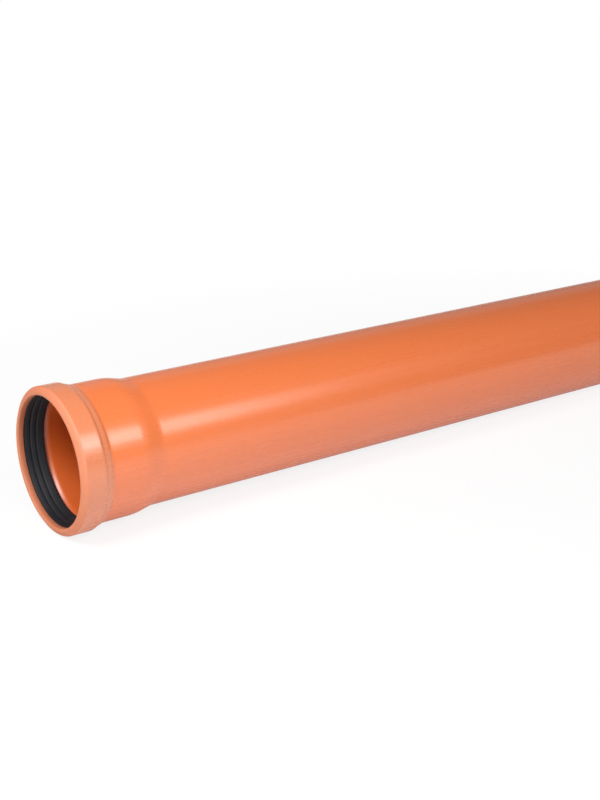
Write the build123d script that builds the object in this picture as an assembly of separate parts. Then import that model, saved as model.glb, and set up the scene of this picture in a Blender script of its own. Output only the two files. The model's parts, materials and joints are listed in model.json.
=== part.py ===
from build123d import *
from math import asin, atan, atan2, cos, degrees, hypot, radians, sin, tan
import os

# A PVC sewer pipe: one extruded tube with a socket formed on one end, and the rubber sealing
# ring that lies in the groove inside the socket's bead.
# Stations run along the axis from the mouth of the socket, radii are taken from the axis.
# Millimetres. The pipe lies along X with its socket at the -X end, and +Z is up.

# Pipe
pipe_diameter = 160.0       # outside
pipe_wall = 4.7
laying_length = 1000.0      # what one pipe adds to a run of pipes
chamfer_length = 7.0        # lead-in on the plain end
chamfer_angle = 15.0

# Socket
socket_depth = 90.6         # from the mouth to the start of the taper
socket_gap = 0.6            # radial room around the next pipe's plain end
taper_length = 23.0
taper_start_radius = 60.0   # the two bends of the taper, on the outside
taper_end_radius = 30.0

# Bead, the wide front of the socket that houses the sealing ring
front_length = 3.9          # from the mouth back along the sloping front of the bead
front_radius = 3.5          # outside, where that front meets the bead
bead_length = 29.7          # from the mouth to the bead's rear shoulder
shoulder_radius = 3.5       # outside, at that shoulder
groove_depth = 5.75         # from the socket's bore out to the floor of the groove
fall_length = 3.2           # from the shoulder down to a ledge over the ring's heel
ledge_length = 5.8
ledge_height = 3.5          # of the ledge's front above the socket body
ledge_end_height = 2.3
ledge_radius = 2.5          # outside, at both edges of the ledge
foot_length = 3.8           # from the ledge down to the socket body
foot_radius = 4.0

# Front lip, which keeps the sealing ring in
lip_gap = 0.8               # radial room around the next pipe
lip_wall = 3.8              # thickness at the mouth
lip_length = 8.6            # from the mouth to the groove
lip_edge_radius = 1.9       # inside, at the mouth
lip_crest_radius = 3.0      # outside, at the mouth
groove_lean = 2.0           # how far the groove's front wall leans over towards the mouth

# Sealing ring
ring_clearance = 0.2        # between the ring and the groove
nose_gap = 0.8              # along the axis, between the front lip and the ring's nose
nose_room = 1.2             # radial room around the next pipe at the nose
lip_squeeze = 3.0           # how far the sealing lip reaches inside the next pipe's surface
lip_reach = 5.6             # how far the tip of the lip passes the rear shoulder of the groove
lip_land = 3.0              # straight stretch at the tip of the lip
lip_thickness = 2.2
heel_length = 3.0           # how far the ring's heel runs under the ledge
pocket_depth = 5.0          # hollow behind the lip that lets it fold back
rib_count = 3               # ribs on the ring's face, the sealing lip among them
notch_width = 2.2           # between two ribs
notch_depth = 1.2

# Radii and stations that follow from those sizes
pipe_radius = pipe_diameter / 2
pipe_bore_radius = pipe_radius - pipe_wall
socket_bore_radius = pipe_radius + socket_gap
socket_radius = socket_bore_radius + pipe_wall
groove_radius = socket_bore_radius + groove_depth
bead_radius = groove_radius + pipe_wall
lip_radius = pipe_radius + lip_gap
taper_end = socket_depth + taper_length
overall_length = socket_depth + laying_length
chamfer_start = overall_length - chamfer_length
chamfer_end_radius = pipe_radius - chamfer_length * tan(radians(chamfer_angle))

# Bends of the socket's outside, and the slopes between them
shoulder = (bead_length, bead_radius)
ledge = (bead_length + fall_length, socket_radius + ledge_height)
ledge_end = (ledge[0] + ledge_length, socket_radius + ledge_end_height)
foot = (ledge_end[0] + foot_length, socket_radius)
taper_top = (socket_depth, socket_radius)
taper_foot = (taper_end, pipe_radius)
fall_slope = atan((groove_depth - ledge_height) / fall_length)
ledge_slope = atan((ledge_height - ledge_end_height) / ledge_length)
foot_slope = atan(ledge_end_height / foot_length)
taper_slope = atan((socket_radius - pipe_radius) / taper_length)


def below(bend, slope_before, slope_after, depth=pipe_wall):
    """The bend of a wall that runs parallel to the outside, that deep under one of its bends."""
    station, radius = bend
    middle = (slope_before + slope_after) / 2
    reach = depth / cos((slope_before - slope_after) / 2)
    return (station - reach * sin(middle), radius - reach * cos(middle))


groove_shoulder = below(shoulder, 0, fall_slope)[0]


def turned(outline):
    """The solid that a closed outline of stations and radii makes around the pipe's axis."""
    return revolve(Plane.XZ * make_face(outline), axis=Axis.X)


def make_pipe():
    corners = [
        # Outside, from the mouth to the plain end: point and bend radius
        ((0, lip_radius + lip_wall), lip_crest_radius),
        ((front_length, bead_radius), front_radius),
        (shoulder, shoulder_radius),
        (ledge, ledge_radius),
        (ledge_end, ledge_radius),
        (foot, foot_radius),
        (taper_top, taper_start_radius),
        (taper_foot, taper_end_radius),
        ((chamfer_start, pipe_radius), 0),
        ((overall_length, chamfer_end_radius), 0),
        # Inside, from the plain end back to the mouth: the wall keeps its thickness
        ((overall_length, pipe_bore_radius), 0),
        (below(taper_foot, taper_slope, 0), taper_end_radius + pipe_wall),
        (below(taper_top, 0, taper_slope), taper_start_radius - pipe_wall),
        (below(foot, foot_slope, 0), foot_radius + pipe_wall),
        (below(ledge_end, ledge_slope, foot_slope), 0),
        (below(ledge, fall_slope, ledge_slope), 0),
        (below(shoulder, 0, fall_slope), 0),
        ((lip_length - groove_lean, groove_radius), 0),
        ((lip_length, lip_radius), 0),
        ((0, lip_radius), lip_edge_radius),
    ]
    points = [point for point, bend in corners]
    bends = [bend for point, bend in corners]
    return turned(FilletPolyline(*points, radius=bends, close=True))


def make_seal_ring():
    nose = lip_length + nose_gap
    nose_radius = pipe_radius + nose_room
    ring_radius = groove_radius - ring_clearance
    lip_tip = groove_shoulder + lip_reach
    lip_tip_radius = pipe_radius - lip_squeeze
    lip_back_radius = lip_tip_radius + lip_thickness
    face_length = lip_tip - lip_land - nose
    face_drop = nose_radius - lip_tip_radius
    ring_depth = pipe_wall + ring_clearance
    ring_shoulder = below(shoulder, 0, fall_slope, ring_depth)
    ring_ledge = below(ledge, fall_slope, ledge_slope, ring_depth)
    heel = ring_ledge[0] + heel_length
    heel_radius = ring_ledge[1] - heel_length * tan(ledge_slope)

    def on_face(run, depth=0):
        """A point of the tapered face, that far behind the nose and sunk that deep into it."""
        return (nose + run, nose_radius - face_drop * run / face_length + depth)

    corners = [
        # From the nose over the back of the ring to the sealing lip
        on_face(0),
        (nose - groove_lean, ring_radius),
        ring_shoulder,
        ring_ledge,
        (heel, heel_radius),
        (heel - pocket_depth, (heel_radius + lip_back_radius) / 2),
        (lip_tip, lip_back_radius),
        (lip_tip, lip_tip_radius),
        on_face(face_length),
    ]
    # Along the face back to the nose, a notch before each rib
    for rib in range(rib_count - 1, 0, -1):
        middle = face_length * rib / rib_count
        corners.append(on_face(middle + notch_width / 2))
        corners.append(on_face(middle, notch_depth))
        corners.append(on_face(middle - notch_width / 2))
    return turned(Polyline(*corners, close=True))


def rest_tilt():
    """How far the pipe tips on a level floor, lying on its bead and the foot of its chamfer."""
    bend_centre = bead_length - shoulder_radius * tan(fall_slope / 2)
    run = chamfer_start - bend_centre
    rise = bead_radius - shoulder_radius - pipe_radius
    return degrees(atan2(rise, run) + asin(shoulder_radius / hypot(run, rise)))


tipped = Rot(0, rest_tilt(), 0)
pipe = tipped * make_pipe()
seal_ring = tipped * make_seal_ring()

# On the floor, with the middle of its length at the origin
box = pipe.bounding_box()
on_floor = Pos(-box.center().X, 0, -box.min.Z)

os.makedirs("parts", exist_ok=True)
export_step(on_floor * pipe, "parts/pipe.step")
export_step(on_floor * seal_ring, "parts/seal_ring.step")
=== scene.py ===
import json
from math import atan, cos, pi, radians, sin, tan
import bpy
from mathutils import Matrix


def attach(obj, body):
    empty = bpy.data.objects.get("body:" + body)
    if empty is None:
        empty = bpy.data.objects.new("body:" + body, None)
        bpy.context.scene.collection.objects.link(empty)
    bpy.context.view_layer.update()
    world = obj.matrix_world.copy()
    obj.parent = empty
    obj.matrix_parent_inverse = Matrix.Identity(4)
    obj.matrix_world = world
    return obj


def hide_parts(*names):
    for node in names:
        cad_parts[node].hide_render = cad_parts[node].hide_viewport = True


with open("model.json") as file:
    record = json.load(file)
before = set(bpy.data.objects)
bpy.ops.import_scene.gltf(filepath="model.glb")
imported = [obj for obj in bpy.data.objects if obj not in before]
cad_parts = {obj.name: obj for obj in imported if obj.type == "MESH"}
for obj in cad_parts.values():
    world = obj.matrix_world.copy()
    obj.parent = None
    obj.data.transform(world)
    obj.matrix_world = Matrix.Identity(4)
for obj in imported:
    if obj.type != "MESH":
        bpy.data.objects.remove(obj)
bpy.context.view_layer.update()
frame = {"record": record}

from types import SimpleNamespace

import bmesh
import bpy
from bpy.props import FloatProperty, FloatVectorProperty, IntProperty, PointerProperty
from mathutils import Matrix, Vector

bl_info = {
    "name": "Sewer pipe",
    "version": (1, 0, 0),
    "blender": (4, 5, 0),
    "location": "View3D > Sidebar > Sewer pipe",
    "description": "A PVC sewer pipe with a formed socket and its rubber lip seal, on a stage",
    "category": "Add Mesh",
}

# The pipe lies tipped by 0.6 degrees, so it is shaped along its own axis and then laid down.
# Stations run along that axis from the mouth of the socket, radii are taken from the axis.
MOUNTS = {mount["name"]: mount for mount in frame["record"]["mounts"]}


def mount_size(name, size):
    """A size of one of the record's mounts, in metres."""
    return MOUNTS[name]["dims"][size] / 1000


PIPE_RADIUS = mount_size("spigot", "r_mm")
BORE_RADIUS = mount_size("pipe_bore", "r_mm")
SEAL_RADIUS = mount_size("socket_seal", "r_mm")
SEAL_LAND = mount_size("socket_seal", "length_mm")
AXIS = Vector(MOUNTS["pipe_bore"]["axis"])
PLAIN_END = Vector(MOUNTS["pipe_bore"]["pos_m"]) + AXIS * mount_size("pipe_bore", "length_mm") / 2

TURN_STEPS = 192            # round the axis
BEND_LOOPS = 3              # the fewest loops of faces in a bend
BEND_STEP = radians(8)      # the most that a bend turns from one loop to the next
BEND_RUN = 0.0012           # and the longest loop in a bend
SOCKET_RUN = 0.003          # longest loop in the socket's straight stretches
BARREL_RUN = 0.016          # and in the barrel's
SHARP_ANGLE = radians(12)   # edges that turn more than this stay crisp
MERGE_DISTANCE = 1e-6

# Grain of the finishes: its swells to a metre along and across the pipe
STREAK_GRAIN = (3, 150)
SWELL_GRAIN = (8, 26)
PEEL_GRAIN = (900, 900)
TOOL_GRAIN = (1500, 1500)
BLOOM_GRAIN = (70, 70)
FINE_GRAIN = (1600, 1600)
FLOW_GRAIN = (900, 900)
GRAIN_DETAIL = 3.0
GRAIN_ROUGHNESS = 0.55
GRAIN_SUM = (0.7, 1.3)          # least and most of two grains added up
GRAIN_PRODUCT = (0.12, 0.45)    # and multiplied

# How far each grain stands up in the relief, in metres
STREAK_HEIGHT = 8e-7
SWELL_HEIGHT = 5e-5
PEEL_HEIGHT = 3e-7
TOOL_HEIGHT = 5e-5
FINE_HEIGHT = 1e-5
FLOW_HEIGHT = 2e-5

PVC_IOR = 1.53
PVC_SPECULAR = 1.0
RUBBER_IOR = 1.52
RUBBER_SPECULAR = 0.35
WHITE = (1, 1, 1, 1)

FRAME_WIDTH = 600           # the picture, in pixels
FRAME_HEIGHT = 800
SENSOR = 36.0               # millimetres along the picture's long side


# Properties

def length(name, description, default):
    return FloatProperty(
        name=name, description=description, default=default, unit="LENGTH", precision=4
    )


def angle(name, description, degrees):
    return FloatProperty(
        name=name, description=description, default=radians(degrees), subtype="ANGLE"
    )


def colour(name, description, default):
    return FloatVectorProperty(
        name=name, description=description, default=default, subtype="COLOR", min=0, max=1
    )


def share(name, description, default):
    return FloatProperty(
        name=name, description=description, default=default, subtype="FACTOR", min=0, max=1
    )


def place(name, description, default):
    return FloatVectorProperty(
        name=name, description=description, default=default, subtype="TRANSLATION", unit="LENGTH"
    )


def power(name, description, default):
    return FloatProperty(name=name, description=description, default=default, unit="POWER", min=0)


class PipeSettings(bpy.types.PropertyGroup):
    """Sizes and finish of the pipe"""
    pipe_radius: length("Pipe radius", "Outside of the barrel", PIPE_RADIUS)
    bore_radius: length("Bore radius", "Inside of the barrel", BORE_RADIUS)
    laying_length: length("Laying length", "What one pipe adds to a run of pipes", 1.0)
    chamfer_length: length("Chamfer length", "Lead-in on the plain end", 0.007)
    chamfer_angle: angle("Chamfer angle", "Slope of that lead-in", 15)
    cut_edge_radius: length("Cut edge radius", "Broken edges of the plain end", 0.0004)
    socket_depth: length("Socket depth", "From the mouth to the start of the taper", 0.0906)
    socket_gap: length("Socket gap", "Radial room around the next pipe's plain end", 0.0006)
    taper_length: length("Taper length", "From the socket down to the barrel", 0.023)
    taper_start_radius: length("Taper start radius", "Bend from the socket to the taper", 0.060)
    taper_end_radius: length("Taper end radius", "Bend from the taper to the barrel", 0.030)
    front_length: length("Front length", "From the mouth back along the bead's slope", 0.0039)
    front_radius: length("Front radius", "Bend from that slope to the bead", 0.0035)
    bead_length: length("Bead length", "From the mouth to the rear shoulder of the bead", 0.0297)
    shoulder_radius: length("Shoulder radius", "Bend at that shoulder", 0.0035)
    groove_depth: length("Groove depth", "From the socket's bore to the groove's floor", 0.00575)
    fall_length: length("Fall length", "From the shoulder down to the ledge", 0.0032)
    ledge_length: length("Ledge length", "The ledge over the seal's heel", 0.0058)
    ledge_height: length("Ledge height", "Front of the ledge above the socket body", 0.0035)
    ledge_end_height: length("Ledge end height", "Rear of the ledge above the socket body", 0.0023)
    ledge_radius: length("Ledge radius", "Bends at both edges of the ledge", 0.0025)
    foot_length: length("Foot length", "From the ledge down to the socket body", 0.0038)
    foot_radius: length("Foot radius", "Bend at the socket body", 0.004)
    lip_gap: length("Lip gap", "Radial room around the next pipe in the mouth", 0.0008)
    lip_wall: length("Lip wall", "Thickness of the front lip at the mouth", 0.0038)
    lip_length: length("Lip length", "From the mouth to the groove", 0.0086)
    lip_edge_radius: length("Lip edge radius", "Inner edge of the mouth", 0.0019)
    lip_crest_radius: length("Lip crest radius", "Outer edge of the mouth", 0.003)
    lip_back_radius: length("Lip back radius", "Edge between the front lip and the groove", 0.0008)
    groove_lean: length("Groove lean", "Lean of the groove's front wall towards the mouth", 0.002)
    pvc_colour: colour("PVC colour", "Body colour of the pipe", (0.825, 0.192, 0.054))
    pale_colour: colour("Pale colour", "What its streaks tend to", (0.84, 0.209, 0.064))
    pale_share: share("Pale share", "How far the palest streaks go there", 0.08)
    bead_colour: colour("Bead colour", "The stretched wall of the bead", (0.725, 0.226, 0.101))
    # Painted shade: the front lip's inside is coloured dark brown, darkening towards the seal
    lip_shade_colour: colour("Lip colour", "Inside of the front lip, by the seal", (0.36, 0.125, 0.06))
    # Painted shade: the inside of the pipe is coloured deeper and darker than its outside
    bore_shade_colour: colour("Bore colour", "Inside of the pipe", (0.71, 0.130, 0.018))
    cut_colour: colour("Cut colour", "The machined plain end", (0.80, 0.235, 0.085))
    polished: share("Polished", "Roughness of the smoothest streaks", 0.24)
    satin: share("Satin", "Roughness of the dullest streaks", 0.32)
    bore_roughness: share("Bore roughness", "Roughness inside the pipe", 0.40)
    rim_roughness: share("Rim roughness", "Roughness of the bead's front", 0.75)
    cut_roughness: share("Cut roughness", "Roughness of the machined plain end", 0.58)


class SealSettings(bpy.types.PropertyGroup):
    """Sizes and finish of the lip seal"""
    lip_tip_radius: length("Lip tip radius", "Opening of the sealing lip", SEAL_RADIUS)
    lip_land: length("Lip land", "Straight stretch at the tip of the lip", SEAL_LAND)
    lip_reach: length("Lip reach", "How far the lip passes the groove's rear shoulder", 0.0056)
    lip_thickness: length("Lip thickness", "Rubber at the tip of the lip", 0.0022)
    ring_clearance: length("Ring clearance", "Between the ring and the groove", 0.0002)
    nose_gap: length("Nose gap", "Along the axis, between the front lip and the nose", 0.0008)
    nose_room: length("Nose room", "Radial room around the next pipe at the nose", 0.0012)
    heel_length: length("Heel length", "How far the ring's heel runs under the ledge", 0.003)
    pocket_depth: length("Pocket depth", "Hollow behind the lip", 0.005)
    rib_count: IntProperty(
        name="Ribs", description="Ribs on the ring's face, the lip among them", default=3, min=1
    )
    notch_width: length("Notch width", "Between two ribs", 0.0022)
    notch_depth: length("Notch depth", "Depth of that notch", 0.0012)
    rib_radius: length("Rib radius", "Rounding of the ribs", 0.0024)
    notch_radius: length("Notch radius", "Rounding at the bottom of a notch", 0.0003)
    edge_radius: length("Edge radius", "Rounding of the ring's other edges", 0.0006)
    rubber_colour: colour("Rubber colour", "Body colour of the seal", (0.007, 0.0095, 0.014))
    bloom_colour: colour("Bloom colour", "Its faint grey bloom", (0.016, 0.018, 0.021))
    smooth: share("Smooth", "Roughness of the smoothest rubber", 0.52)
    dull: share("Dull", "Roughness of the dullest rubber", 0.68)


class StageSettings(bpy.types.PropertyGroup):
    """Floor, lights and camera"""
    floor_size: length("Floor size", "From the middle of the floor to its edges", 60)
    floor_colour: colour("Floor colour", "What lights the pipe from below", (0.74, 0.74, 0.74))
    shadow_share: share("Shadow share", "How much of the shadow shows on the white floor", 0.16)
    mirrored_share: share("Mirrored share", "How much of it the pipe mirrors", 0.85)
    shadow_place: place("Shadow place", "Middle of the floor that shows the shadow", (0, -0.6, 0))
    shadow_near: length("Shadow near", "How far from there the shadow shows in full", 0.8)
    shadow_far: length("Shadow far", "How far from there it has faded out", 1.5)
    room_colour: colour("Room colour", "Plain light from all round", (0.12, 0.12, 0.12))
    lights_aim: place("Lights aim", "What the lights point at", (-0.40, 0, 0.09))
    front_place: place("Front place", "Wide softbox in front of the pipe", (-0.28, -2.41, 1.87))
    front_width: length("Front width", "Its long side", 3.46)
    front_height: length("Front height", "Its short side", 1.1)
    front_power: power("Front power", "Its output", 57)
    mouth_place: place("Mouth place", "Softbox that lights the mouth", (-1.21, -0.36, 1.18))
    mouth_size: length("Mouth light size", "Each of its sides", 0.6)
    mouth_power: power("Mouth light power", "Its output", 17)
    back_place: place("Back place", "Pale panel behind the pipe", (0.3, 3.0, 1.3))
    back_width: length("Back width", "Its long side", 7)
    back_height: length("Back height", "Its short side", 1.8)
    back_power: power("Back power", "Its output", 10)
    view_turn: angle("View turn", "How far the camera looks to the right of square on", 36.3816)
    view_drop: angle("View drop", "How far it looks down", 19.6894)
    view_distance: length("View distance", "Depth of the middle of the mouth", 1.60575)
    focal_pixels: FloatProperty(
        name="Focal length", description="In pixels of the picture", default=1360.08,
        subtype="PIXEL",
    )
    mouth_pixel: FloatVectorProperty(
        name="Mouth", description="Middle of the mouth in the picture", size=2,
        default=(47.5448, 462.6018),
    )


# Shapes

def pipe_stations(pipe):
    """Radii, stations, bends and slopes that follow from the pipe's sizes."""
    wall = pipe.pipe_radius - pipe.bore_radius
    socket_bore = pipe.pipe_radius + pipe.socket_gap
    socket = socket_bore + wall
    groove = socket_bore + pipe.groove_depth
    ledge = pipe.bead_length + pipe.fall_length
    ledge_end = ledge + pipe.ledge_length
    taper_end = pipe.socket_depth + pipe.taper_length
    overall = pipe.socket_depth + pipe.laying_length
    return SimpleNamespace(
        wall=wall,
        socket_bore=socket_bore,
        groove=groove,
        bead=groove + wall,
        lip=pipe.pipe_radius + pipe.lip_gap,
        shoulder=(pipe.bead_length, groove + wall),
        ledge=(ledge, socket + pipe.ledge_height),
        ledge_end=(ledge_end, socket + pipe.ledge_end_height),
        foot=(ledge_end + pipe.foot_length, socket),
        taper_top=(pipe.socket_depth, socket),
        taper_foot=(taper_end, pipe.pipe_radius),
        fall_slope=atan((pipe.groove_depth - pipe.ledge_height) / pipe.fall_length),
        ledge_slope=atan((pipe.ledge_height - pipe.ledge_end_height) / pipe.ledge_length),
        foot_slope=atan(pipe.ledge_end_height / pipe.foot_length),
        taper_slope=atan((socket - pipe.pipe_radius) / pipe.taper_length),
        taper_end=taper_end,
        overall=overall,
        chamfer_start=overall - pipe.chamfer_length,
        chamfer_end=pipe.pipe_radius - pipe.chamfer_length * tan(pipe.chamfer_angle),
    )


def below(bend, slope_before, slope_after, depth):
    """The bend of a wall that runs parallel to the outside, that deep under one of its bends."""
    station, radius = bend
    middle = (slope_before + slope_after) / 2
    reach = depth / cos((slope_before - slope_after) / 2)
    return (station - reach * sin(middle), radius - reach * cos(middle))


def pipe_corners(pipe):
    """The wall's outline: station, radius and bend radius of each corner."""
    at = pipe_stations(pipe)
    return [
        # Outside, from the mouth to the plain end
        (0, at.lip + pipe.lip_wall, pipe.lip_crest_radius),
        (pipe.front_length, at.bead, pipe.front_radius),
        (*at.shoulder, pipe.shoulder_radius),
        (*at.ledge, pipe.ledge_radius),
        (*at.ledge_end, pipe.ledge_radius),
        (*at.foot, pipe.foot_radius),
        (*at.taper_top, pipe.taper_start_radius),
        (*at.taper_foot, pipe.taper_end_radius),
        (at.chamfer_start, pipe.pipe_radius, 0),
        (at.overall, at.chamfer_end, pipe.cut_edge_radius),
        # Inside, back to the mouth
        (at.overall, pipe.bore_radius, pipe.cut_edge_radius),
        (*below(at.taper_foot, at.taper_slope, 0, at.wall), pipe.taper_end_radius + at.wall),
        (*below(at.taper_top, 0, at.taper_slope, at.wall), pipe.taper_start_radius - at.wall),
        (*below(at.foot, at.foot_slope, 0, at.wall), pipe.foot_radius + at.wall),
        (*below(at.ledge_end, at.ledge_slope, at.foot_slope, at.wall), 0),
        (*below(at.ledge, at.fall_slope, at.ledge_slope, at.wall), 0),
        (*below(at.shoulder, 0, at.fall_slope, at.wall), 0),
        (pipe.lip_length - pipe.groove_lean, at.groove, 0),
        (pipe.lip_length, at.lip, pipe.lip_back_radius),
        (0, at.lip, pipe.lip_edge_radius),
    ]


def seal_corners(pipe, seal):
    """The seal's outline: station, radius and bend radius of each corner."""
    at = pipe_stations(pipe)
    nose = pipe.lip_length + seal.nose_gap
    nose_radius = pipe.pipe_radius + seal.nose_room
    ring_radius = at.groove - seal.ring_clearance
    ring_depth = at.wall + seal.ring_clearance
    ring_shoulder = below(at.shoulder, 0, at.fall_slope, ring_depth)
    ring_ledge = below(at.ledge, at.fall_slope, at.ledge_slope, ring_depth)
    heel = ring_ledge[0] + seal.heel_length
    heel_radius = ring_ledge[1] - seal.heel_length * tan(at.ledge_slope)
    groove_shoulder = below(at.shoulder, 0, at.fall_slope, at.wall)[0]
    lip_tip = groove_shoulder + seal.lip_reach
    lip_back = seal.lip_tip_radius + seal.lip_thickness
    face_length = lip_tip - seal.lip_land - nose
    face_drop = nose_radius - seal.lip_tip_radius

    def on_face(run, bend, depth=0):
        """A corner on the tapered face, that far behind the nose and sunk that deep into it."""
        return (nose + run, nose_radius - face_drop * run / face_length + depth, bend)

    corners = [
        # From the nose over the back of the ring to the sealing lip
        on_face(0, seal.rib_radius),
        (nose - pipe.groove_lean, ring_radius, seal.edge_radius),
        (*ring_shoulder, seal.edge_radius),
        (*ring_ledge, 0),
        (heel, heel_radius, seal.edge_radius),
        (heel - seal.pocket_depth, (heel_radius + lip_back) / 2, seal.edge_radius),
        (lip_tip, lip_back, seal.edge_radius),
        (lip_tip, seal.lip_tip_radius, seal.edge_radius),
        on_face(face_length, seal.rib_radius),
    ]
    # Along the face back to the nose, a notch before each rib
    for rib in range(seal.rib_count - 1, 0, -1):
        middle = face_length * rib / seal.rib_count
        corners.append(on_face(middle + seal.notch_width / 2, seal.rib_radius))
        corners.append(on_face(middle, seal.notch_radius, seal.notch_depth))
        corners.append(on_face(middle - seal.notch_width / 2, seal.rib_radius))
    return corners


def round_corner(bm, corner, bend):
    """Rounds one corner of a wire outline."""
    arms = [edge.other_vert(corner).co - corner.co for edge in corner.link_edges]
    turn = pi - arms[0].angle(arms[1])
    segments = max(BEND_LOOPS, round(turn / BEND_STEP), round(bend * turn / BEND_RUN))
    bmesh.ops.bevel(
        bm, geom=[corner], offset=bend * tan(turn / 2), offset_type="OFFSET",
        affect="VERTICES", segments=segments, profile=0.5, material=-1,
    )


def turned_ring(corners, fine_until):
    """The ring that an outline makes round the pipe's axis, with finer loops up to a station."""
    bm = bmesh.new()
    outline = [bm.verts.new((station, 0, radius)) for station, radius, bend in corners]
    bends = [bend for station, radius, bend in corners]
    for start, end in zip(outline, outline[1:] + outline[:1]):
        bm.edges.new((start, end))
    for corner, bend in zip(outline, bends):
        if bend:
            round_corner(bm, corner, bend)
    for edge in bm.edges[:]:
        fine = min(vert.co.x for vert in edge.verts) < fine_until
        longest = SOCKET_RUN if fine else BARREL_RUN
        cuts = int(edge.calc_length() / longest)
        if cuts:
            bmesh.ops.subdivide_edges(bm, edges=[edge], cuts=cuts)
    bmesh.ops.spin(
        bm, geom=bm.verts[:] + bm.edges[:], cent=(0, 0, 0), axis=(1, 0, 0), angle=2 * pi,
        steps=TURN_STEPS, use_merge=True,
    )
    bmesh.ops.remove_doubles(bm, verts=bm.verts[:], dist=MERGE_DISTANCE)
    bmesh.ops.recalc_face_normals(bm, faces=bm.faces[:])
    for face in bm.faces:
        face.smooth = True
    for edge in bm.edges:
        edge.smooth = edge.calc_face_angle() < SHARP_ANGLE
    return bm


def laid_down(pipe):
    """Takes stations along X from the mouth to where the pipe lies."""
    side = Vector((0, 1, 0))
    turn = Matrix((AXIS, side, AXIS.cross(side))).transposed().to_4x4()
    mouth = PLAIN_END - AXIS * pipe_stations(pipe).overall
    return Matrix.Translation(mouth) @ turn


def add_piece(name, bm, node, material):
    """Makes the piece that stands for a CAD node."""
    mesh = bpy.data.meshes.new(name)
    bm.to_mesh(mesh)
    bm.free()
    mesh.materials.append(material)
    piece = bpy.data.objects.new(name, mesh)
    bpy.context.scene.collection.objects.link(piece)
    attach(piece, "root")
    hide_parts(node)


# Materials

def add_node(tree, kind, inputs=None, **settings):
    """Adds a node, sets its settings, and fills its inputs with values or other nodes' outputs."""
    node = tree.nodes.new(kind)
    for name, value in settings.items():
        setattr(node, name, value)
    for key, value in (inputs or {}).items():
        if isinstance(value, bpy.types.NodeSocket):
            tree.links.new(value, node.inputs[key])
        else:
            node.inputs[key].default_value = value
    return node


def calculated(tree, operation, first, second):
    """What one Math node works out of two values."""
    return add_node(tree, "ShaderNodeMath", {0: first, 1: second}, operation=operation).outputs[0]


def stretched(tree, value, low, high, from_low=0.0, from_high=1.0):
    """A value brought from one range to another."""
    inputs = {
        "Value": value,
        "From Min": from_low,
        "From Max": from_high,
        "To Min": low,
        "To Max": high,
    }
    return add_node(tree, "ShaderNodeMapRange", inputs).outputs["Result"]


def mixed_value(tree, factor, first, second):
    """A value between two others, from the Mix node's sockets for values."""
    inputs = {0: factor, 2: first, 3: second}
    return add_node(tree, "ShaderNodeMix", inputs, data_type="FLOAT").outputs[0]


def mixed_colour(tree, factor, first, second):
    """A colour between two others, from the Mix node's sockets for colours."""
    inputs = {0: factor, 6: first, 7: second}
    return add_node(tree, "ShaderNodeMix", inputs, data_type="RGBA").outputs[2]


def rgba(colour_value):
    return (*colour_value, 1)


def new_material(name):
    """A new material, its node tree and its Principled shader."""
    material = bpy.data.materials.new(name)
    material.use_nodes = True
    tree = material.node_tree
    return material, tree, tree.nodes["Principled BSDF"]


def grain_group():
    """A node group for surface grain: noise with its own fineness along and across the pipe."""
    group = bpy.data.node_groups.get("grain")
    if group:
        return group
    group = bpy.data.node_groups.new("grain", "ShaderNodeTree")
    inputs = {
        "Place": "NodeSocketVector",
        "Along": "NodeSocketFloat",
        "Across": "NodeSocketFloat",
    }
    for name, kind in inputs.items():
        group.interface.new_socket(name, in_out="INPUT", socket_type=kind)
    group.interface.new_socket("Grain", in_out="OUTPUT", socket_type="NodeSocketFloat")
    given = group.nodes.new("NodeGroupInput").outputs
    along, across = given["Along"], given["Across"]
    scale = add_node(group, "ShaderNodeCombineXYZ", {"X": along, "Y": across, "Z": across})
    spread = add_node(
        group, "ShaderNodeVectorMath", {0: given["Place"], 1: scale.outputs[0]},
        operation="MULTIPLY",
    )
    noise = add_node(group, "ShaderNodeTexNoise", {
        "Vector": spread.outputs[0],
        "Scale": 1.0,
        "Detail": GRAIN_DETAIL,
        "Roughness": GRAIN_ROUGHNESS,
    })
    add_node(group, "NodeGroupOutput", {"Grain": noise.outputs[0]})
    return group


def grain(tree, where, fineness):
    """The grain at a place, with so many swells to a metre along and across the pipe."""
    along, across = fineness
    inputs = {"Place": where, "Along": along, "Across": across}
    return add_node(tree, "ShaderNodeGroup", inputs, node_tree=grain_group()).outputs["Grain"]


def along_pipe(tree, pipe):
    """Object coordinates turned to the pipe's own axis, with X as the station."""
    lifted = laid_down(pipe).inverted()
    coordinates = tree.nodes.new("ShaderNodeTexCoord").outputs["Object"]
    inputs = {"Vector": coordinates, "Location": lifted.translation, "Rotation": lifted.to_euler()}
    return add_node(tree, "ShaderNodeMapping", inputs, vector_type="POINT").outputs[0]


def turned_place(tree, where):
    """Station, radius, and both as a place, where grain runs in rings like the marks of a tool."""
    split = add_node(tree, "ShaderNodeSeparateXYZ", {0: where}).outputs
    across = add_node(tree, "ShaderNodeCombineXYZ", {"Y": split["Y"], "Z": split["Z"]})
    span = add_node(tree, "ShaderNodeVectorMath", {0: across.outputs[0]}, operation="LENGTH")
    station = split["X"]
    radius = span.outputs["Value"]
    rings = add_node(tree, "ShaderNodeCombineXYZ", {"X": station, "Y": radius}).outputs[0]
    return SimpleNamespace(station=station, radius=radius, rings=rings)


def weighed(tree, heights):
    """The sum of grains, each with its own height in metres."""
    total = 0.0
    for value, height in heights:
        part = calculated(tree, "MULTIPLY", value, height)
        total = calculated(tree, "ADD", total, part)
    return total


def finish_surface(tree, shader, base, roughness, height):
    """Links colour, roughness and relief to the shader."""
    tree.links.new(base, shader.inputs["Base Color"])
    tree.links.new(roughness, shader.inputs["Roughness"])
    bump = add_node(tree, "ShaderNodeBump", {"Height": height, "Strength": 1.0, "Distance": 1.0})
    tree.links.new(bump.outputs[0], shader.inputs["Normal"])


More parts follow.
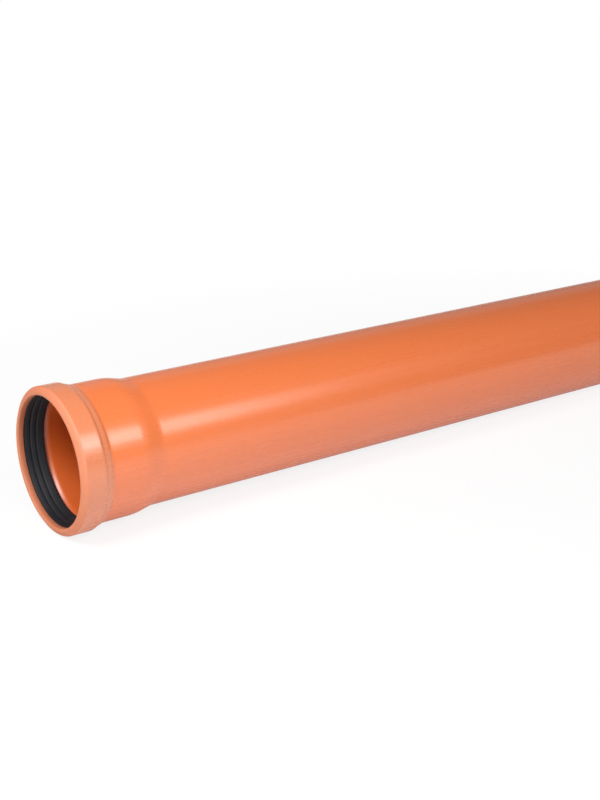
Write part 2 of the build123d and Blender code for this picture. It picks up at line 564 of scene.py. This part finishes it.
def pvc_material(pipe):
    """Extruded PVC: faint streaks along the pipe, a pale bead, a cut plain end, and painted shade:
    a deeper, darker bore and a dark inside of the front lip.
    """
    material, tree, shader = new_material("pvc")
    where = along_pipe(tree, pipe)
    turned = turned_place(tree, where)
    station = turned.station
    streaks = grain(tree, where, STREAK_GRAIN)
    swells = grain(tree, where, SWELL_GRAIN)
    peel = grain(tree, where, PEEL_GRAIN)
    tool_marks = grain(tree, turned.rings, TOOL_GRAIN)

    # Masks of the plain end, the bead's front, the front lip's inside, the bore and the bead; the
    # lip's and the bore's masks carry painted shade
    at = pipe_stations(pipe)
    cut = stretched(tree, station, 0, 1, at.chamfer_start, at.chamfer_start + pipe.cut_edge_radius)
    rim = stretched(tree, station, 1, 0, pipe.front_length, pipe.front_length + pipe.front_radius)
    behind_mouth = stretched(tree, station, 0, 1, 0, pipe.lip_length)
    behind_lip = stretched(tree, station, 0, 1, pipe.lip_length, at.ledge[0])
    behind_bead = stretched(tree, station, 0, 1, at.ledge_end[0], at.foot[0])
    socket_middle = at.socket_bore + at.wall / 2
    barrel_middle = pipe.bore_radius + at.wall / 2
    middle = stretched(tree, station, socket_middle, barrel_middle, pipe.socket_depth, at.taper_end)
    ledge_rise = stretched(tree, behind_bead, pipe.ledge_end_height, 0)
    middle = calculated(tree, "ADD", middle, ledge_rise)
    inside = calculated(tree, "LESS_THAN", turned.radius, middle)
    lip = calculated(tree, "MULTIPLY", inside, behind_mouth)
    bore = calculated(tree, "MULTIPLY", inside, behind_lip)

    wall = mixed_colour(tree, behind_bead, rgba(pipe.bead_colour), rgba(pipe.pvc_colour))
    # Painted shade on the front lip's inside, darkening from the mouth towards the seal
    wall = mixed_colour(tree, lip, wall, rgba(pipe.lip_shade_colour))
    # Painted shade in the bore: a deeper, darker colour than the outside; the same mask also sets
    # the bore's own roughness
    wall = mixed_colour(tree, bore, wall, rgba(pipe.bore_shade_colour))
    drawn = calculated(tree, "ADD", streaks, swells)
    tone = stretched(tree, drawn, 0, pipe.pale_share, *GRAIN_SUM)
    body = mixed_colour(tree, tone, wall, rgba(pipe.pale_colour))
    base = mixed_colour(tree, cut, body, rgba(pipe.cut_colour))

    brushed = calculated(tree, "ADD", streaks, peel)
    gloss = stretched(tree, brushed, pipe.polished, pipe.satin, *GRAIN_SUM)
    gloss = mixed_value(tree, rim, gloss, pipe.rim_roughness)
    gloss = mixed_value(tree, bore, gloss, pipe.bore_roughness)
    roughness = mixed_value(tree, cut, gloss, pipe.cut_roughness)

    heights = (
        (streaks, STREAK_HEIGHT),
        (swells, SWELL_HEIGHT),
        (peel, PEEL_HEIGHT),
        (calculated(tree, "MULTIPLY", tool_marks, cut), TOOL_HEIGHT),
    )
    finish_surface(tree, shader, base, roughness, weighed(tree, heights))
    shader.inputs["IOR"].default_value = PVC_IOR
    shader.inputs["Specular IOR Level"].default_value = PVC_SPECULAR
    return material


def rubber_material(pipe, seal):
    """Moulded black rubber with a fine grain and a faint bloom."""
    material, tree, shader = new_material("rubber")
    where = along_pipe(tree, pipe)
    bloom = grain(tree, where, BLOOM_GRAIN)
    fine = grain(tree, where, FINE_GRAIN)
    flow = grain(tree, turned_place(tree, where).rings, FLOW_GRAIN)

    dusted = calculated(tree, "MULTIPLY", bloom, fine)
    dusted = stretched(tree, dusted, 0, 1, *GRAIN_PRODUCT)
    base = mixed_colour(tree, dusted, rgba(seal.rubber_colour), rgba(seal.bloom_colour))
    mottled = calculated(tree, "ADD", bloom, fine)
    roughness = stretched(tree, mottled, seal.smooth, seal.dull, *GRAIN_SUM)
    heights = ((fine, FINE_HEIGHT), (flow, FLOW_HEIGHT))
    finish_surface(tree, shader, base, roughness, weighed(tree, heights))
    shader.inputs["IOR"].default_value = RUBBER_IOR
    shader.inputs["Specular IOR Level"].default_value = RUBBER_SPECULAR
    return material


def floor_material(stage):
    """Floor that shows as white with the pipe's soft shadow, and lights the pipe as plain paint."""
    material, tree, shader = new_material("studio_floor")
    tree.nodes.remove(shader)
    material.cycles.emission_sampling = "NONE"
    path = tree.nodes.new("ShaderNodeLightPath").outputs
    direct = path["Is Camera Ray"]
    seen = calculated(tree, "MAXIMUM", direct, path["Is Glossy Ray"])
    seen = calculated(tree, "MAXIMUM", seen, path["Is Transmission Ray"])
    where = tree.nodes.new("ShaderNodeTexCoord").outputs["Object"]
    ends = {0: where, 1: stage.shadow_place}
    away = add_node(tree, "ShaderNodeVectorMath", ends, operation="DISTANCE").outputs["Value"]
    near = stretched(tree, away, 1, 0, stage.shadow_near, stage.shadow_far)
    shown_share = mixed_value(tree, direct, stage.mirrored_share, stage.shadow_share)
    shaded = calculated(tree, "MULTIPLY", near, shown_share)

    paint = add_node(tree, "ShaderNodeBsdfDiffuse", {"Color": rgba(stage.floor_colour)}).outputs[0]
    shade = add_node(tree, "ShaderNodeBsdfDiffuse", {"Color": WHITE}).outputs[0]
    white = add_node(tree, "ShaderNodeEmission", {"Color": WHITE, "Strength": 1.0}).outputs[0]
    shown = add_node(tree, "ShaderNodeMixShader", {0: shaded, 1: white, 2: shade}).outputs[0]
    above = add_node(tree, "ShaderNodeMixShader", {0: seen, 1: paint, 2: shown}).outputs[0]
    underneath = add_node(tree, "ShaderNodeBsdfTransparent").outputs[0]
    back = tree.nodes.new("ShaderNodeNewGeometry").outputs["Backfacing"]
    sides = add_node(tree, "ShaderNodeMixShader", {0: back, 1: above, 2: underneath}).outputs[0]
    tree.links.new(sides, tree.nodes["Material Output"].inputs["Surface"])
    return material


# Stage

def add_floor(stage):
    bm = bmesh.new()
    bmesh.ops.create_grid(bm, x_segments=1, y_segments=1, size=stage.floor_size)
    mesh = bpy.data.meshes.new("studio_floor")
    bm.to_mesh(mesh)
    bm.free()
    mesh.materials.append(floor_material(stage))
    floor = bpy.data.objects.new("studio_floor", mesh)
    bpy.context.scene.collection.objects.link(floor)


def add_softbox(name, where, aim, width, height, watts):
    """A rectangular lamp that shows only by its light and its reflection."""
    lamp = bpy.data.lights.new(name, "AREA")
    lamp.shape = "RECTANGLE"
    lamp.size = width
    lamp.size_y = height
    lamp.energy = watts
    softbox = bpy.data.objects.new(name, lamp)
    softbox.location = where
    softbox.rotation_euler = (Vector(aim) - Vector(where)).to_track_quat("-Z", "Y").to_euler()
    softbox.visible_camera = False
    bpy.context.scene.collection.objects.link(softbox)


def light_room(stage):
    world = bpy.data.worlds.new("room")
    world.use_nodes = True
    world.node_tree.nodes["Background"].inputs["Color"].default_value = rgba(stage.room_colour)
    bpy.context.scene.world = world
    bpy.context.scene.view_settings.view_transform = "Standard"


def add_camera(pipe, stage):
    """The camera that sees the middle of the mouth at its own place in the picture."""
    up = Vector((0, 0, 1))
    right = Vector((cos(stage.view_turn), -sin(stage.view_turn), 0))
    level = up.cross(right)
    forward = level * cos(stage.view_drop) - up * sin(stage.view_drop)
    picture_up = level * sin(stage.view_drop) + up * cos(stage.view_drop)
    across = (stage.mouth_pixel[0] - FRAME_WIDTH / 2) / stage.focal_pixels
    upwards = (FRAME_HEIGHT / 2 - stage.mouth_pixel[1]) / stage.focal_pixels
    sight = forward + right * across + picture_up * upwards

    camera = bpy.data.objects.new("camera", bpy.data.cameras.new("camera"))
    camera.data.sensor_width = SENSOR
    camera.data.lens = SENSOR * stage.focal_pixels / max(FRAME_WIDTH, FRAME_HEIGHT)
    camera.location = laid_down(pipe).translation - sight * stage.view_distance
    camera.rotation_euler = forward.to_track_quat("-Z", "Y").to_euler()
    bpy.context.scene.collection.objects.link(camera)
    bpy.context.scene.camera = camera


# Operators and panel

class SEWERPIPE_OT_pipe_wall(bpy.types.Operator):
    """Make the pipe with its formed socket"""
    bl_idname = "sewer_pipe.pipe_wall"
    bl_label = "Pipe wall"

    def execute(self, context):
        pipe = context.scene.pipe_settings
        bm = turned_ring(pipe_corners(pipe), pipe_stations(pipe).taper_end)
        bmesh.ops.transform(bm, matrix=laid_down(pipe), verts=bm.verts[:])
        add_piece("pipe_wall", bm, "pipe", pvc_material(pipe))
        return {"FINISHED"}


class SEWERPIPE_OT_lip_seal(bpy.types.Operator):
    """Make the rubber lip seal in the socket's groove"""
    bl_idname = "sewer_pipe.lip_seal"
    bl_label = "Lip seal"

    def execute(self, context):
        pipe = context.scene.pipe_settings
        seal = context.scene.seal_settings
        bm = turned_ring(seal_corners(pipe, seal), pipe_stations(pipe).taper_end)
        bmesh.ops.transform(bm, matrix=laid_down(pipe), verts=bm.verts[:])
        add_piece("lip_seal", bm, "seal_ring", rubber_material(pipe, seal))
        return {"FINISHED"}


class SEWERPIPE_OT_stage(bpy.types.Operator):
    """Set the floor, the lights and the camera"""
    bl_idname = "sewer_pipe.stage"
    bl_label = "Stage"

    def execute(self, context):
        stage = context.scene.stage_settings
        add_floor(stage)
        aim = stage.lights_aim
        add_softbox(
            "front_light", stage.front_place, aim, stage.front_width, stage.front_height,
            stage.front_power,
        )
        add_softbox(
            "mouth_light", stage.mouth_place, aim, stage.mouth_size, stage.mouth_size,
            stage.mouth_power,
        )
        add_softbox(
            "back_light", stage.back_place, aim, stage.back_width, stage.back_height,
            stage.back_power,
        )
        light_room(stage)
        add_camera(context.scene.pipe_settings, stage)
        return {"FINISHED"}


class SEWERPIPE_PT_panel(bpy.types.Panel):
    """Lists the pieces and their sizes"""
    bl_idname = "SEWERPIPE_PT_panel"
    bl_label = "Sewer pipe"
    bl_space_type = "VIEW_3D"
    bl_region_type = "UI"
    bl_category = "Sewer pipe"

    def draw(self, context):
        for settings_name, operator_names in PANEL_ROWS:
            settings = getattr(context.scene, settings_name)
            column = self.layout.column(align=True)
            for name in settings.__annotations__:
                column.prop(settings, name)
            for name in operator_names:
                column.operator(name)


PANEL_ROWS = (
    ("pipe_settings", ("sewer_pipe.pipe_wall",)),
    ("seal_settings", ("sewer_pipe.lip_seal",)),
    ("stage_settings", ("sewer_pipe.stage",)),
)

CLASSES = (
    PipeSettings,
    SealSettings,
    StageSettings,
    SEWERPIPE_OT_pipe_wall,
    SEWERPIPE_OT_lip_seal,
    SEWERPIPE_OT_stage,
    SEWERPIPE_PT_panel,
)


def register():
    for item in CLASSES:
        bpy.utils.register_class(item)
    bpy.types.Scene.pipe_settings = PointerProperty(type=PipeSettings)
    bpy.types.Scene.seal_settings = PointerProperty(type=SealSettings)
    bpy.types.Scene.stage_settings = PointerProperty(type=StageSettings)


def unregister():
    del bpy.types.Scene.stage_settings
    del bpy.types.Scene.seal_settings
    del bpy.types.Scene.pipe_settings
    for item in reversed(CLASSES):
        bpy.utils.unregister_class(item)


def main():
    register()
    bpy.ops.sewer_pipe.pipe_wall()
    bpy.ops.sewer_pipe.lip_seal()
    bpy.ops.sewer_pipe.stage()


if __name__ == "__main__":
    main()
